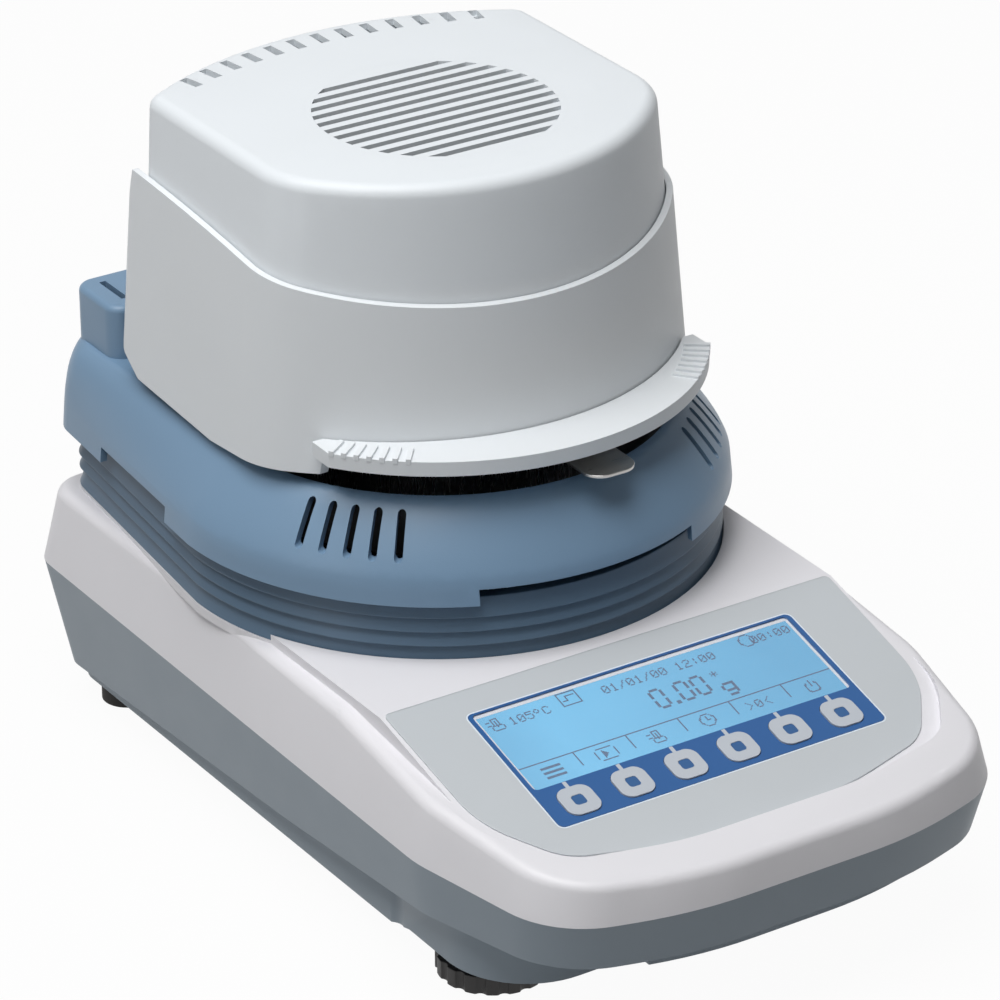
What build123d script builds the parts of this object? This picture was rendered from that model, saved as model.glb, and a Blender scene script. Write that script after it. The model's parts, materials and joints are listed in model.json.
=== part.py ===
"""Bench moisture analyser: weighing base, vented drying chamber and hinged halogen hood.

Millimetres, +Z up, +X to the right of a person at the display, -Y towards that person.
The origin is the centre of the footprint, on the bench.
"""
from build123d import *
import os
from math import cos, radians, sin, sqrt, tan

# Weighing base
BASE_HALF_WIDTH = 105.2
BASE_HALF_DEPTH = 173.0
PARTING_Z = 57.8
RIM_Z = 87.0
RIM_INSET = 5.8
RIM_BREAK_Y = -38.0
RIM_FRONT_Z = 71.0
RIM_FRONT_Y = -167.0
WALL = 2.5
BAND_INSET = 8.0
BAND_REAR_Z = 15.0
BAND_MID_Z = 26.0
BAND_SIDE_Z = 36.5
BAND_FRONT_Z = 39.5
FRONT_LIP_Z = 33.5
FRONT_LIP_HALF_WIDTH = 54.0
TRAY_INSET = 9.5
TRAY_Z = 10.5
TRAY_NOSE_Z = 16.0
TRAY_FRONT_Y = -131.0
NOTCH_Y = -66.0

# Control panel, tilted towards the user
PANEL_TILT = 14.3
DISPLAY_TOP_Y = -68.1
DISPLAY_TOP_Z = 87.8
DECK_Z = 90.6
DECK_HALF_WIDTH = 94.6
DECK_FRONT_Y = -152.0
OVERLAY_HALF_WIDTH = 92.3
OVERLAY_REAR_Y = -56.5
OVERLAY_FRONT_Y = -148.5
BEZEL_HALF_WIDTH = 67.0
BEZEL_LENGTH = 60.6
LCD_HALF_WIDTH = 65.2
LCD_LENGTH = 41.5
KEY_COUNT = 6
KEY_SIZE = 13.2
KEY_EYE = 4.6
KEY_PITCH = 21.6
KEY_TRAVEL = 0.6

# Drying chamber
CHAMBER_Y = 52.8
CHAMBER_REAR_Y = 170.0
COLLAR_RADIUS = 101.8
COLLAR_FLARE = 2.4
COLLAR_HALF_REAR = 91.0
COLLAR_REAR_Y = 166.5
PLINTH_Z = 88.0
RIB_HEIGHTS = (88.0, 95.2, 100.6, 106.0, 113.0)
LIP_RADIUS = 104.7
LIP_Z = 112.0
NOTCH_RISE = 6.0
SHOULDER_Z = 121.0
CROWN_Z = 144.5
MOUTH_RADIUS = 84.0
MOUTH_REAR_Y = 122.0
WELL_FLOOR_Z = 121.0
SLOT_COUNT = 5
SLOT_FIRST_DEG = 40.5
SLOT_STEP_DEG = 5.2
SLOT_WIDTH = 3.0
SLOT_HEIGHT = 15.0
SLOT_Z = 134.0

# Hinge tower and hood
HINGE_Y = 152.0
HINGE_Z = 155.0
BARREL_RADIUS = 8.0
HINGE_PIN_RADIUS = 3.0
PIN_CLEARANCE = 0.05
HOOD_OPEN_DEG = 80.0
TOWER_HALF_WIDTH = 86.0
TOWER_TOP_Z = 165.0
TOWER_FRONT_Y = 136.0
TOWER_REAR_Y = 167.0
SADDLE_HALF_WIDTH = 62.0
SADDLE_Z = 138.0
HOOD_TOP_Z = 252.5
HOOD_CREST_Z = 247.0
HOOD_HALF_WIDTH = 79.0
HOOD_FRONT_RADIUS = 92.0
HOOD_CENTRE_Y = 79.0
HOOD_REAR_Y = 143.0
HOOD_REAR_RADIUS = 142.0
HOOD_DRAFT = 0.085
HOOD_WALL = 2.4
SHELL_REAR_Z = 150.0
SHELL_FRONT_Z = 168.0
LEDGE_WIDTH = 2.6
SKIRT_REAR_Y = 129.0
FLANGE_Z = 163.0
FLANGE_THICKNESS = 5.5
FLANGE_RADIUS = 96.0
FLANGE_CENTRE_Y = 53.0
GRILLE_Y = 53.5
GRILLE_RADIUS = 45.6
LOUVRE_COUNT = 12
REAR_SLOT_PITCH = 9.9
REAR_SLOT_WIDTH = 3.6
REAR_SLOT_LENGTH = 9.0
REAR_SLOT_Y = 131.8
REAR_SLOT_ARC = 164.0
REAR_SLOT_SPLAY = 0.2

# Heater, pan and weighing parts
PAN_Y = 50.0
PAN_RADIUS = 45.0
PAN_Z = 145.0
PAN_DEPTH = 6.0
SHIELD_RADIUS = 51.5
LIFTER_Z = 149.6
LIFT_TRAVEL = 5.0
TAB_X = 9.6
TAB_WIDTH = 20.0
TAB_TIP_Y = -46.5
LAMP_RADIUS = 46.0
LAMP_TUBE = 5.0
LAMP_Z = 186.0
GLASS_RADIUS = 58.0
GLASS_Z = 172.0

# Electronics and load cell, on the floor of the base
FLOOR_Z = TRAY_Z + WALL
BOARD_X = 15.0
BOARD_Y = 95.0
BOARD_Z = 25.0
BOARD_LENGTH = 110.0
BOARD_WIDTH = 90.0
BEAM_Z = 57.0

# Feet
FOOT_X = 69.7
FOOT_Y = -89.4
FOOT_RADIUS = 20.0
FOOT_FLUTES = 16
STUD_RADIUS = 4.0
THREAD_PITCH = 1.25
REAR_FOOT_X = 80.0
REAR_FOOT_Y = 148.0

# Rear panel
INLET_X = -62.0
INLET_Z = 41.0
INLET_GAP = 0.4

os.makedirs("parts", exist_ok=True)


def save(name, shape):
    """Write one node."""
    shape.label = name
    export_step(shape, f"parts/{name}.step")


def joined(shapes):
    """Fuse a list of shapes into one."""
    total = shapes[0]
    for shape in shapes[1:]:
        total = total + shape
    return total


def solids(shapes):
    """Hold separate solids together in one node."""
    return Compound(children=list(shapes))


def both_sides(shape):
    """A shape and its mirror image across the middle plane."""
    return [shape, mirror(shape, about=Plane.YZ)]


def side_prism(points, half_width=130.0):
    """Extrude a side-view outline of (y, z) points across the whole width."""
    face = make_face(Polyline([(0, y, z) for y, z in points], close=True))
    return extrude(face, amount=half_width, dir=(1, 0, 0), both=True)


def base_plan(z, inset, front=None, corner=34.0):
    """Outline of the base at height z: bowed front, big corners, straight sides."""
    w = BASE_HALF_WIDTH - inset
    rear = BASE_HALF_DEPTH - inset * 0.6
    shift = 0.0 if front is None else front + 173.0
    nose = -174.0 + inset + shift
    side = [
        (-w, rear),
        (-w, -97.0 + shift),
        (-w + 13.0, -160.5 + inset + shift),
        (-w + 60.0, nose),
    ]
    other = [(-x, y) for x, y in reversed(side)]
    radii = [14.0, 50.0, corner, 150.0, 150.0, corner, 50.0, 14.0]
    path = FilletPolyline(*(side + other), radius=radii, close=True)
    return Pos(0, 0, z) * make_face(path)


def panel_z(y):
    """Height of the tilted control panel at a given y."""
    return DISPLAY_TOP_Z + (y - DISPLAY_TOP_Y) * tan(radians(PANEL_TILT))


def on_panel(x, along, lift=0.0):
    """Location on the panel: x across, along down the slope from the display's top."""
    tilt = radians(PANEL_TILT)
    y = DISPLAY_TOP_Y - along * cos(tilt) - lift * sin(tilt)
    z = DISPLAY_TOP_Z - along * sin(tilt) + lift * cos(tilt)
    return Location((x, y, z), (PANEL_TILT, 0, 0))


def deck_plan(z, grow=0.0):
    """Outline of the raised deck that carries the control panel."""
    w = DECK_HALF_WIDTH + grow
    nose = DECK_FRONT_Y - grow
    side = [(-w, 30.0), (-w + 1.5, -118.0), (-w + 20.0, nose + 9.0), (-w + 60.0, nose)]
    other = [(-x, y) for x, y in reversed(side)]
    radii = [3.0, 40.0, 22.0, 120.0, 120.0, 22.0, 40.0, 3.0]
    return Pos(0, 0, z) * make_face(FilletPolyline(*(side + other), radius=radii, close=True))


def above_panel(lift, top=140.0):
    """Everything above the deck's top surface, raised by lift."""
    return side_prism([
        (200.0, DECK_Z + lift),
        (DISPLAY_TOP_Y + (DECK_Z - DISPLAY_TOP_Z) / tan(radians(PANEL_TILT)), DECK_Z + lift),
        (-200.0, panel_z(-200.0) + lift),
        (-200.0, top),
        (200.0, top),
    ])


def chamber_plan(z, radius, rear_half_width, rear_y=CHAMBER_REAR_Y, corner=16.0):
    """D-shaped outline of the chamber: round at the front, tapering to a square rear."""
    outline = [
        ThreePointArc((-radius, CHAMBER_Y), (0, CHAMBER_Y - radius), (radius, CHAMBER_Y)),
        Line((radius, CHAMBER_Y), (rear_half_width, rear_y)),
        Line((rear_half_width, rear_y), (-rear_half_width, rear_y)),
        Line((-rear_half_width, rear_y), (-radius, CHAMBER_Y)),
    ]
    face = make_face(outline)
    rear = face.vertices().filter_by(lambda v: v.Y > rear_y - 1)
    return Pos(0, 0, z) * fillet(rear, radius=corner)


def hood_plan(z, grow=0.0, rear_y=None):
    """D-shaped outline of the hood at height z, drafted outwards towards its mouth."""
    g = (HOOD_CREST_Z - z) * HOOD_DRAFT + grow
    front = Pos(0, HOOD_CENTRE_Y) * Circle(HOOD_FRONT_RADIUS + g)
    half_width = HOOD_HALF_WIDTH + g
    if rear_y is None:
        back = Pos(0, HOOD_REAR_Y - HOOD_REAR_RADIUS) * Circle(HOOD_REAR_RADIUS + min(grow, 0.0))
        sides = Pos(0, 50.0) * Rectangle(2 * half_width, 260.0)
        shape = front & sides & back
    else:
        sides = Pos(0, rear_y - 130.0) * Rectangle(2 * half_width, 260.0)
        shape = (front + Pos(0, 140.0) * Rectangle(2 * half_width, 100.0)) & sides
    face = shape.faces()[0]
    fore = face.vertices().filter_by(lambda v: v.Y < HOOD_CENTRE_Y)
    face = fillet(fore, radius=34.0 + grow)
    aft = face.vertices().filter_by(lambda v: v.Y > 100.0)
    face = fillet(aft, radius=8.0)
    return Pos(0, 0, z) * face


# Base shells

def rim_envelope():
    """Everything above the rim of the top casing."""
    return side_prism([
        (200.0, RIM_Z),
        (RIM_BREAK_Y, RIM_Z),
        (RIM_FRONT_Y, RIM_FRONT_Z),
        (-200.0, RIM_FRONT_Z - 4.0),
        (-200.0, 140.0),
        (200.0, 140.0),
    ])


def base_top_casing():
    """White upper shell: leaning walls, rolled rim and the tilted deck."""
    outer = loft([base_plan(PARTING_Z, 0.0), base_plan(RIM_Z + 3.0, RIM_INSET + 0.6)])
    outer = outer - rim_envelope()
    crest = outer.edges().filter_by(lambda e: e.center().Z > RIM_FRONT_Z - 2.0)
    outer = fillet(crest, radius=4.5)
    deck = extrude(deck_plan(PARTING_Z), amount=60.0) - above_panel(0.0)
    hollow_over_deck = extrude(deck_plan(PARTING_Z, 2.2), amount=60.0) & above_panel(0.0)
    body = outer - hollow_over_deck + deck
    inner = loft([
        base_plan(PARTING_Z - 1.0, WALL),
        base_plan(RIM_Z - WALL, RIM_INSET + WALL),
    ]) - Pos(0, 0, -WALL - 2.0) * rim_envelope()
    under_deck = extrude(deck_plan(PARTING_Z - 1.0, -WALL), amount=60.0)
    body = body - (inner + under_deck - Pos(0, 0, -WALL) * above_panel(0.0))
    seat = chamber_plan(PLINTH_Z - 3.5, COLLAR_RADIUS + 0.3, COLLAR_HALF_REAR + 0.3, COLLAR_REAR_Y + 0.3)
    body = body + extrude(seat, amount=3.5)
    body = body - Pos(0, 0, 3.5) * extrude(seat, amount=20.0)
    chamber_hole = extrude(chamber_plan(PARTING_Z, 92.0, 80.0, 158.0), amount=60.0)
    body = body - chamber_hole
    window = on_panel(0, LCD_LENGTH / 2 + 0.9, -5.0) * Box(2 * LCD_HALF_WIDTH - 2, LCD_LENGTH - 3, 20.0)
    body = body - window
    for key in key_centres():
        body = body - on_panel(key, key_along(), -5.0) * Box(KEY_SIZE + 0.5, KEY_SIZE + 0.5, 20.0)
    return body


def band_profile(drop=0.0):
    """Everything below the rising lower edge of the grey band."""
    return side_prism([
        (200.0, BAND_REAR_Z - 3.0 - drop),
        (0.0, BAND_MID_Z - drop),
        (-100.0, BAND_SIDE_Z - drop),
        (-150.0, BAND_FRONT_Z - drop),
        (-200.0, BAND_FRONT_Z - drop),
        (-200.0, -20.0),
        (200.0, -20.0),
    ])


def tray_plan(z, inset):
    """Outline of the recessed tray under the grey band."""
    w = BASE_HALF_WIDTH - inset
    rear = BASE_HALF_DEPTH - inset
    front = TRAY_FRONT_Y + inset - TRAY_INSET
    side = [(-w, rear), (-w + 1.0, front)]
    other = [(-x, y) for x, y in reversed(side)]
    path = FilletPolyline(*(side + other), radius=[12.0, 32.0, 32.0, 12.0], close=True)
    return Pos(0, 0, z) * make_face(path)


def tray_rise():
    """Everything below the tray's floor: it climbs gently forwards, then steps up at the feet."""
    return side_prism([
        (200.0, TRAY_Z - 0.5),
        (150.0, TRAY_Z),
        (NOTCH_Y + 4.0, TRAY_Z + 2.5),
        (NOTCH_Y - 8.0, TRAY_NOSE_Z),
        (-200.0, TRAY_NOSE_Z),
        (-200.0, -20.0),
        (200.0, -20.0),
    ])


def front_lip():
    """Finger lip that hangs just below the band, along the middle of the front."""
    ring = base_plan(FRONT_LIP_Z, 9.0) - base_plan(FRONT_LIP_Z, 9.0 + WALL)
    window = Pos(0, -160.0, FRONT_LIP_Z) * Rectangle(2 * FRONT_LIP_HALF_WIDTH, 40.0)
    return extrude((ring & window).faces()[0], amount=BAND_FRONT_Z + 3.0 - FRONT_LIP_Z)


def base_bottom_casing():
    """Grey lower shell: inward band over a recessed tray, foot bosses inside."""
    band = loft([base_plan(0.0, BAND_INSET + 2.5), base_plan(PARTING_Z, 0.0)]) - band_profile()
    tray = loft([tray_plan(TRAY_Z, TRAY_INSET + 1.5), tray_plan(48.0, TRAY_INSET)]) - tray_rise()
    notch = Pos(BASE_HALF_WIDTH - TRAY_INSET + 7.0, NOTCH_Y, TRAY_Z) * Cylinder(10.0, 40.0)
    for cut in both_sides(notch):
        tray = tray - cut
    body = band + tray + front_lip()
    upper = loft([base_plan(0.0, BAND_INSET + 2.5 + WALL), base_plan(PARTING_Z + 1.0, WALL)])
    upper = upper - band_profile(-WALL)
    lower = loft([tray_plan(TRAY_Z + WALL, TRAY_INSET + 1.5 + WALL), tray_plan(50.0, TRAY_INSET + WALL)])
    lower = lower - Pos(0, 0, WALL) * tray_rise()
    wall_behind = Pos(BASE_HALF_WIDTH - TRAY_INSET + 7.0, NOTCH_Y, TRAY_Z) * Cylinder(10.0 + WALL, 40.0)
    for keep in both_sides(wall_behind):
        lower = lower - keep
    body = body - (upper + lower)
    boss = Pos(0, 0, TRAY_NOSE_Z) * Cylinder(10.0, 20.0, align=(Align.CENTER, Align.CENTER, Align.MIN))
    bore = Pos(0, 0, TRAY_NOSE_Z - 1) * Cylinder(7.0, 24.0, align=(Align.CENTER, Align.CENTER, Align.MIN))
    for x in (-FOOT_X, FOOT_X):
        body = body + Pos(x, FOOT_Y, 0) * boss - Pos(x, FOOT_Y, 0) * bore
    post = Cylinder(3.0, BOARD_Z - FLOOR_Z, align=(Align.CENTER, Align.CENTER, Align.MIN))
    for dx in (-50.0, 50.0):
        for dy in (-40.0, 40.0):
            body = body + Pos(BOARD_X + dx, BOARD_Y + dy, FLOOR_Z) * post
    vent = Pos(0, -20.0, TRAY_Z + 1.0) * Box(2.6, 44.0, 6.0)
    for i in range(-4, 5):
        body = body - Pos(i * 8.0, 0, 0) * vent
    return body - inlet_block(INLET_GAP)


# Control panel

def key_centres():
    """X positions of the keys."""
    return [(i - (KEY_COUNT - 1) / 2) * KEY_PITCH for i in range(KEY_COUNT)]


def key_along():
    """Distance of the key row from the display's top edge, down the slope."""
    return LCD_LENGTH + (BEZEL_LENGTH - LCD_LENGTH) / 2 + 0.4


def overlay_plan():
    """Outline of the grey overlay, in plan."""
    w = OVERLAY_HALF_WIDTH
    nose = OVERLAY_FRONT_Y
    side = [(-w, OVERLAY_REAR_Y), (-w + 1.2, -114.0), (-w + 19.5, nose + 9.5), (-w + 58.0, nose)]
    other = [(-x, y) for x, y in reversed(side)]
    radii = [2.5, 38.0, 22.0, 120.0, 120.0, 22.0, 38.0, 2.5]
    return make_face(FilletPolyline(*(side + other), radius=radii, close=True))


def bezel_prism(grow, low, high):
    """Rounded block over the blue display field, from low to high above the panel."""
    flat = RectangleRounded(2 * (BEZEL_HALF_WIDTH + grow), BEZEL_LENGTH + 2 * grow, 2.5 + grow)
    return extrude(on_panel(0, BEZEL_LENGTH / 2, low) * flat, amount=high - low)


def control_overlay():
    """Grey membrane around the blue display field."""
    slab = extrude(overlay_plan(), amount=140.0) & above_panel(0.0)
    slab = slab - above_panel(0.6)
    return slab - bezel_prism(0.0, -2.0, 4.0)


def display_bezel():
    """Blue field with the window for the display and the key cut-outs."""
    plate = bezel_prism(-0.1, 0.0, 0.7)
    window = on_panel(0, LCD_LENGTH / 2 + 0.9, 0) * Box(2 * LCD_HALF_WIDTH, LCD_LENGTH - 1.0, 4.0)
    plate = plate - window
    for x in key_centres():
        plate = plate - on_panel(x, key_along(), 0) * Box(KEY_SIZE + 0.5, KEY_SIZE + 0.5, 4.0)
    return plate


def lcd_window():
    """Clear display window, flush in the blue field."""
    pane = Box(2 * LCD_HALF_WIDTH - 0.4, LCD_LENGTH - 1.4, 0.6)
    return on_panel(0, LCD_LENGTH / 2 + 0.9, 0.35) * pane


def lcd_module():
    """Display module behind the window."""
    return on_panel(0, LCD_LENGTH / 2, -7.0) * Box(2 * LCD_HALF_WIDTH - 6, LCD_LENGTH - 4, 6.0)


def key_cap(x):
    """Rounded ring key with its stem."""
    ring = extrude(RectangleRounded(KEY_SIZE, KEY_SIZE, 4.2), amount=1.2)
    eye = extrude(RectangleRounded(KEY_EYE, KEY_EYE, 1.2), amount=0.4)
    stem = Box(5.0, 5.0, 4.4, align=(Align.CENTER, Align.CENTER, Align.MAX))
    return on_panel(x, key_along(), 0.1) * (ring - Pos(0, 0, 0.8) * eye + stem)


def key_board():
    """Switch board under the keys."""
    return on_panel(0, key_along(), -6.6) * Box(2 * BEZEL_HALF_WIDTH - 8, 17.0, 1.6)


def main_board():
    """Main electronics board on the floor of the base."""
    board = Pos(BOARD_X, BOARD_Y, BOARD_Z + 0.8) * Box(BOARD_LENGTH, BOARD_WIDTH, 1.6)
    chips = [Pos(BOARD_X + dx, BOARD_Y + dy, BOARD_Z + 3.1) * Box(14.0, 14.0, 3.0)
             for dx, dy in ((-30.0, -20.0), (5.0, 18.0), (30.0, -15.0))]
    return joined([board] + chips)


# Chamber

def chamber_collar():
    """Bellows-like collar of stacked flaring ribs."""
    ribs = []
    narrow = COLLAR_RADIUS - COLLAR_FLARE
    for low, high in zip(RIB_HEIGHTS[:-1], RIB_HEIGHTS[1:]):
        ribs.append(loft([
            chamber_plan(low, COLLAR_RADIUS, COLLAR_HALF_REAR, COLLAR_REAR_Y, 14.0),
            chamber_plan(high, narrow, COLLAR_HALF_REAR - COLLAR_FLARE, COLLAR_REAR_Y - 1.5, 14.0),
        ], ruled=True))
    body = joined(ribs)
    return body - extrude(chamber_plan(80.0, 95.0, 85.0, 164.0), amount=60.0)


def crown_sections(inset):
    """Outlines of the chamber housing from its shoulder to its crown."""
    stations = (
        (SHOULDER_Z, 103.8, 95.0),
        (127.0, 100.6, 94.6),
        (134.0, 95.6, 93.6),
        (140.0, 90.6, 91.4),
        (CROWN_Z, 85.6, 87.0),
    )
    return [chamber_plan(z, r - inset, w - inset, CHAMBER_REAR_Y - inset) for z, r, w in stations]


def housing_slots():
    """Radial vent slots through the crown, left and right of the front."""
    blade = extrude(Plane.XZ * SlotOverall(SLOT_HEIGHT, SLOT_WIDTH, rotation=90), amount=14.0, both=True)
    blades = []
    for i in range(SLOT_COUNT):
        angle = SLOT_FIRST_DEG + i * SLOT_STEP_DEG
        for side in (-1, 1):
            at = Pos(0, CHAMBER_Y, 0) * Rot(0, 0, side * angle) * Pos(0, -95.0, SLOT_Z)
            blades.append(at * blade)
    return blades


def hinge_tower():
    """Cheeks that carry the hood's hinge, with a low saddle between them."""
    block = Pos(0, (TOWER_FRONT_Y + TOWER_REAR_Y) / 2, (130.0 + TOWER_TOP_Z) / 2) * Box(
        2 * TOWER_HALF_WIDTH, TOWER_REAR_Y - TOWER_FRONT_Y, TOWER_TOP_Z - 130.0)
    block = fillet(block.edges().filter_by(Axis.Z), radius=7.0)
    block = fillet(block.faces().sort_by(Axis.Z)[-1].edges(), radius=2.5)
    saddle = Pos(0, 150.0, SADDLE_Z + 25.0) * Box(2 * SADDLE_HALF_WIDTH, 60.0, 50.0)
    block = block - saddle
    slot = Pos(77.0, 152.0, TOWER_TOP_Z) * Box(2.6, 17.0, 12.0)
    for cut in both_sides(slot):
        block = block - cut
    bore = Pos(0, HINGE_Y, HINGE_Z) * Rot(0, 90, 0) * Cylinder(6.0, 2 * 78.0)
    return block - bore


def chamber_housing():
    """Blue chamber housing: lip with raised notches, crown, vents and hinge tower."""
    skirt = loft([
        chamber_plan(LIP_Z, LIP_RADIUS, 95.8),
        chamber_plan(SHOULDER_Z, 103.8, 95.0),
    ], ruled=True)
    body = skirt + loft(crown_sections(0.0))
    body = body + hinge_tower()
    inner = loft([
        chamber_plan(LIP_Z - 1.0, LIP_RADIUS - WALL, 93.3, 167.5),
        chamber_plan(SHOULDER_Z - WALL, 101.3, 92.5, 167.5),
    ], ruled=True) + Pos(0, 0, -WALL) * loft(crown_sections(WALL))
    body = body - inner
    body = body - extrude(chamber_plan(100.0, MOUTH_RADIUS, 80.0, MOUTH_REAR_Y, 10.0), amount=60.0)
    for blade in housing_slots():
        body = body - blade
    front_notch = Pos(0, -40.0, LIP_Z) * Box(88.0, 60.0, 2 * NOTCH_RISE)
    side_notch = Pos(100.0, 99.0, LIP_Z) * Box(40.0, 54.0, 2 * NOTCH_RISE)
    body = body - front_notch
    for cut in both_sides(side_notch):
        body = body - cut
    return body


def chamber_well():
    """Black well inside the housing, open at the top."""
    radius = MOUTH_RADIUS - 0.4
    outer = extrude(chamber_plan(WELL_FLOOR_Z, radius, 79.6, MOUTH_REAR_Y - 0.4, 10.0), amount=21.5)
    inner = extrude(chamber_plan(WELL_FLOOR_Z + 2.0, radius - 2.2, 77.4, MOUTH_REAR_Y - 2.6, 8.0), amount=30.0)
    hole = Pos(0, PAN_Y, WELL_FLOOR_Z) * Cylinder(9.0, 20.0)
    return outer - inner - hole


def heat_shield():
    """Round draft shield around the pan, standing in the well; the lifter rests on its edge."""
    upright = (Align.CENTER, Align.CENTER, Align.MIN)
    height = LIFTER_Z - 0.65 - (WELL_FLOOR_Z + 2.0)
    ring = Cylinder(SHIELD_RADIUS, height, align=upright)
    ring = ring - Pos(0, 0, 1.5) * Cylinder(SHIELD_RADIUS - 1.2, height, align=upright)
    ring = ring - Cylinder(9.0, 10.0)
    return Pos(0, PAN_Y, WELL_FLOOR_Z + 2.0) * ring


def load_cell():
    """Bending-beam load cell with its double window."""
    beam = Box(110.0, 22.0, 22.0)
    window = Cylinder(6.5, 40.0, rotation=(90, 0, 0))
    for x in (-12.0, 12.0):
        beam = beam - Pos(x, 0, 0) * window
    beam = beam - Box(24.0, 40.0, 6.0)
    return Pos(-32.0, PAN_Y, BEAM_Z + 11.0) * beam


def load_cell_bracket():
    """Cast bracket that holds the fixed end of the load cell."""
    upright = (Align.CENTER, Align.CENTER, Align.MIN)
    foot = Pos(-70.0, PAN_Y, FLOOR_Z) * Box(26.0, 60.0, 6.0, align=upright)
    web = Pos(-70.0, PAN_Y, FLOOR_Z) * Box(24.0, 22.0, BEAM_Z - FLOOR_Z, align=upright)
    return foot + web - Pos(0, 0, WALL) * tray_rise()


def pan_carrier():
    """Three-armed carrier that stands on the free end of the load cell."""
    shaft = Pos(0, PAN_Y, 79.0) * Cylinder(5.0, 63.0, align=(Align.CENTER, Align.CENTER, Align.MIN))
    hub = Pos(0, PAN_Y, 141.0) * Cylinder(9.0, 3.0, align=(Align.CENTER, Align.CENTER, Align.MIN))
    arms = []
    for i in range(3):
        arm = Pos(0, 19.0, 142.5) * Box(4.0, 38.0, 3.0)
        tip = Pos(0, 36.0, PAN_Z - 1.25) * Cylinder(2.5, 2.4)
        arms.append(Pos(0, PAN_Y, 0) * Rot(0, 0, 120.0 * i) * (arm + tip))
    foot = Pos(0, PAN_Y, 79.0) * Cylinder(9.0, 4.0, align=(Align.CENTER, Align.CENTER, Align.MIN))
    return joined([shaft, hub, foot] + arms)


def sample_pan():
    """Disposable aluminium pan with a rolled rim."""
    upright = (Align.CENTER, Align.CENTER, Align.MIN)
    bowl = Cylinder(PAN_RADIUS, PAN_DEPTH, align=upright)
    bowl = bowl - Pos(0, 0, 0.6) * Cylinder(PAN_RADIUS - 0.7, PAN_DEPTH, align=upright)
    rim = Pos(0, 0, PAN_DEPTH - 0.4) * (Cylinder(PAN_RADIUS + 2.5, 0.8) - Cylinder(PAN_RADIUS - 0.7, 4.0))
    return Pos(0, PAN_Y, PAN_Z) * (bowl + rim)


def pan_lifter():
    """Flat lifting ring under the pan's rim, with a tab that reaches out at the front."""
    ring = Cylinder(SHIELD_RADIUS + 1.5, 1.2) - Cylinder(PAN_RADIUS + 0.5, 6.0)
    length = PAN_Y - TAB_TIP_Y - 48.0
    arm = Pos(TAB_X, -48.0 - length / 2, 0) * Box(TAB_WIDTH, length, 1.2)
    arm = fillet(arm.edges().filter_by(Axis.Z).sort_by(Axis.Y)[:2], radius=7.0)
    return Pos(0, PAN_Y, LIFTER_Z) * (ring + arm)


# Hood

def ledge_above(lift=0.0):
    """Everything above the curved ledge line between the hood's two tiers."""
    arc = ThreePointArc((0, -60.0, 201.0 + lift), (0, 30.0, 216.5 + lift), (0, 150.0, 225.5 + lift))
    box = Polyline((0, 150.0, 225.5 + lift), (0, 150.0, 300.0), (0, -60.0, 300.0), (0, -60.0, 201.0 + lift))
    return extrude(make_face([arc, box]), amount=130.0, dir=(1, 0, 0), both=True)


def hood_top_shell():
    """Upper tier of the hood with its crowned lid, seat for the grille and rear slots."""
    walls = loft([hood_plan(SHELL_REAR_Z), hood_plan(HOOD_TOP_Z, -0.4)])
    top = walls.faces().sort_by(Axis.Z)[-1].edges()
    walls = fillet(top, radius=5.0)
    ceiling = HOOD_TOP_Z - HOOD_WALL
    inner = loft([hood_plan(SHELL_REAR_Z - 5.0, -HOOD_WALL), hood_plan(ceiling, -HOOD_WALL - 0.4)])
    front_clear = side_prism([(-80.0, 140.0), (108.0, 140.0), (108.0, SHELL_FRONT_Z), (-80.0, SHELL_FRONT_Z)])
    body = walls - inner - front_clear
    body = body - Pos(0, GRILLE_Y, HOOD_TOP_Z) * Cylinder(GRILLE_RADIUS, 20.0)
    slot = Box(REAR_SLOT_WIDTH, REAR_SLOT_LENGTH, 20.0)
    for i in range(-6, 7):
        x = i * REAR_SLOT_PITCH
        body = body - Pos(x, rear_slot_y(x), HOOD_TOP_Z) * Rot(0, 0, -x * REAR_SLOT_SPLAY) * slot
    return body


def rear_slot_y(x):
    """Centre of a rear slot: the row follows a wide arc behind the grille."""
    return REAR_SLOT_Y - (REAR_SLOT_ARC - sqrt(REAR_SLOT_ARC ** 2 - x * x))


def vent_baffle():
    """Shallow trough under the rear slots, against the underside of the lid."""
    ceiling = HOOD_TOP_Z - HOOD_WALL
    within = extrude(hood_plan(ceiling - 5.0, -HOOD_WALL - 1.2), amount=10.0)
    cavity = extrude(hood_plan(ceiling - 5.0, -HOOD_WALL - 2.2), amount=10.0)
    reach = REAR_SLOT_LENGTH / 2 + 2.0
    centre = REAR_SLOT_Y - REAR_SLOT_ARC
    span = Pos(0, REAR_SLOT_Y - 10.0) * Rectangle(13.6 * REAR_SLOT_PITCH, 60.0)
    floor = (Pos(0, centre) * Circle(REAR_SLOT_ARC + reach)) - (Pos(0, centre) * Circle(REAR_SLOT_ARC - reach))
    room = (Pos(0, centre) * Circle(REAR_SLOT_ARC + reach - 1.0)) - (
        Pos(0, centre) * Circle(REAR_SLOT_ARC - reach + 1.0))
    block = extrude(Pos(0, 0, ceiling - 3.0) * (floor & span).faces()[0], amount=3.0) & within
    hollow = extrude(Pos(0, 0, ceiling - 2.0) * (room & span).faces()[0], amount=3.0) & cavity
    return block - hollow


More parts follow.
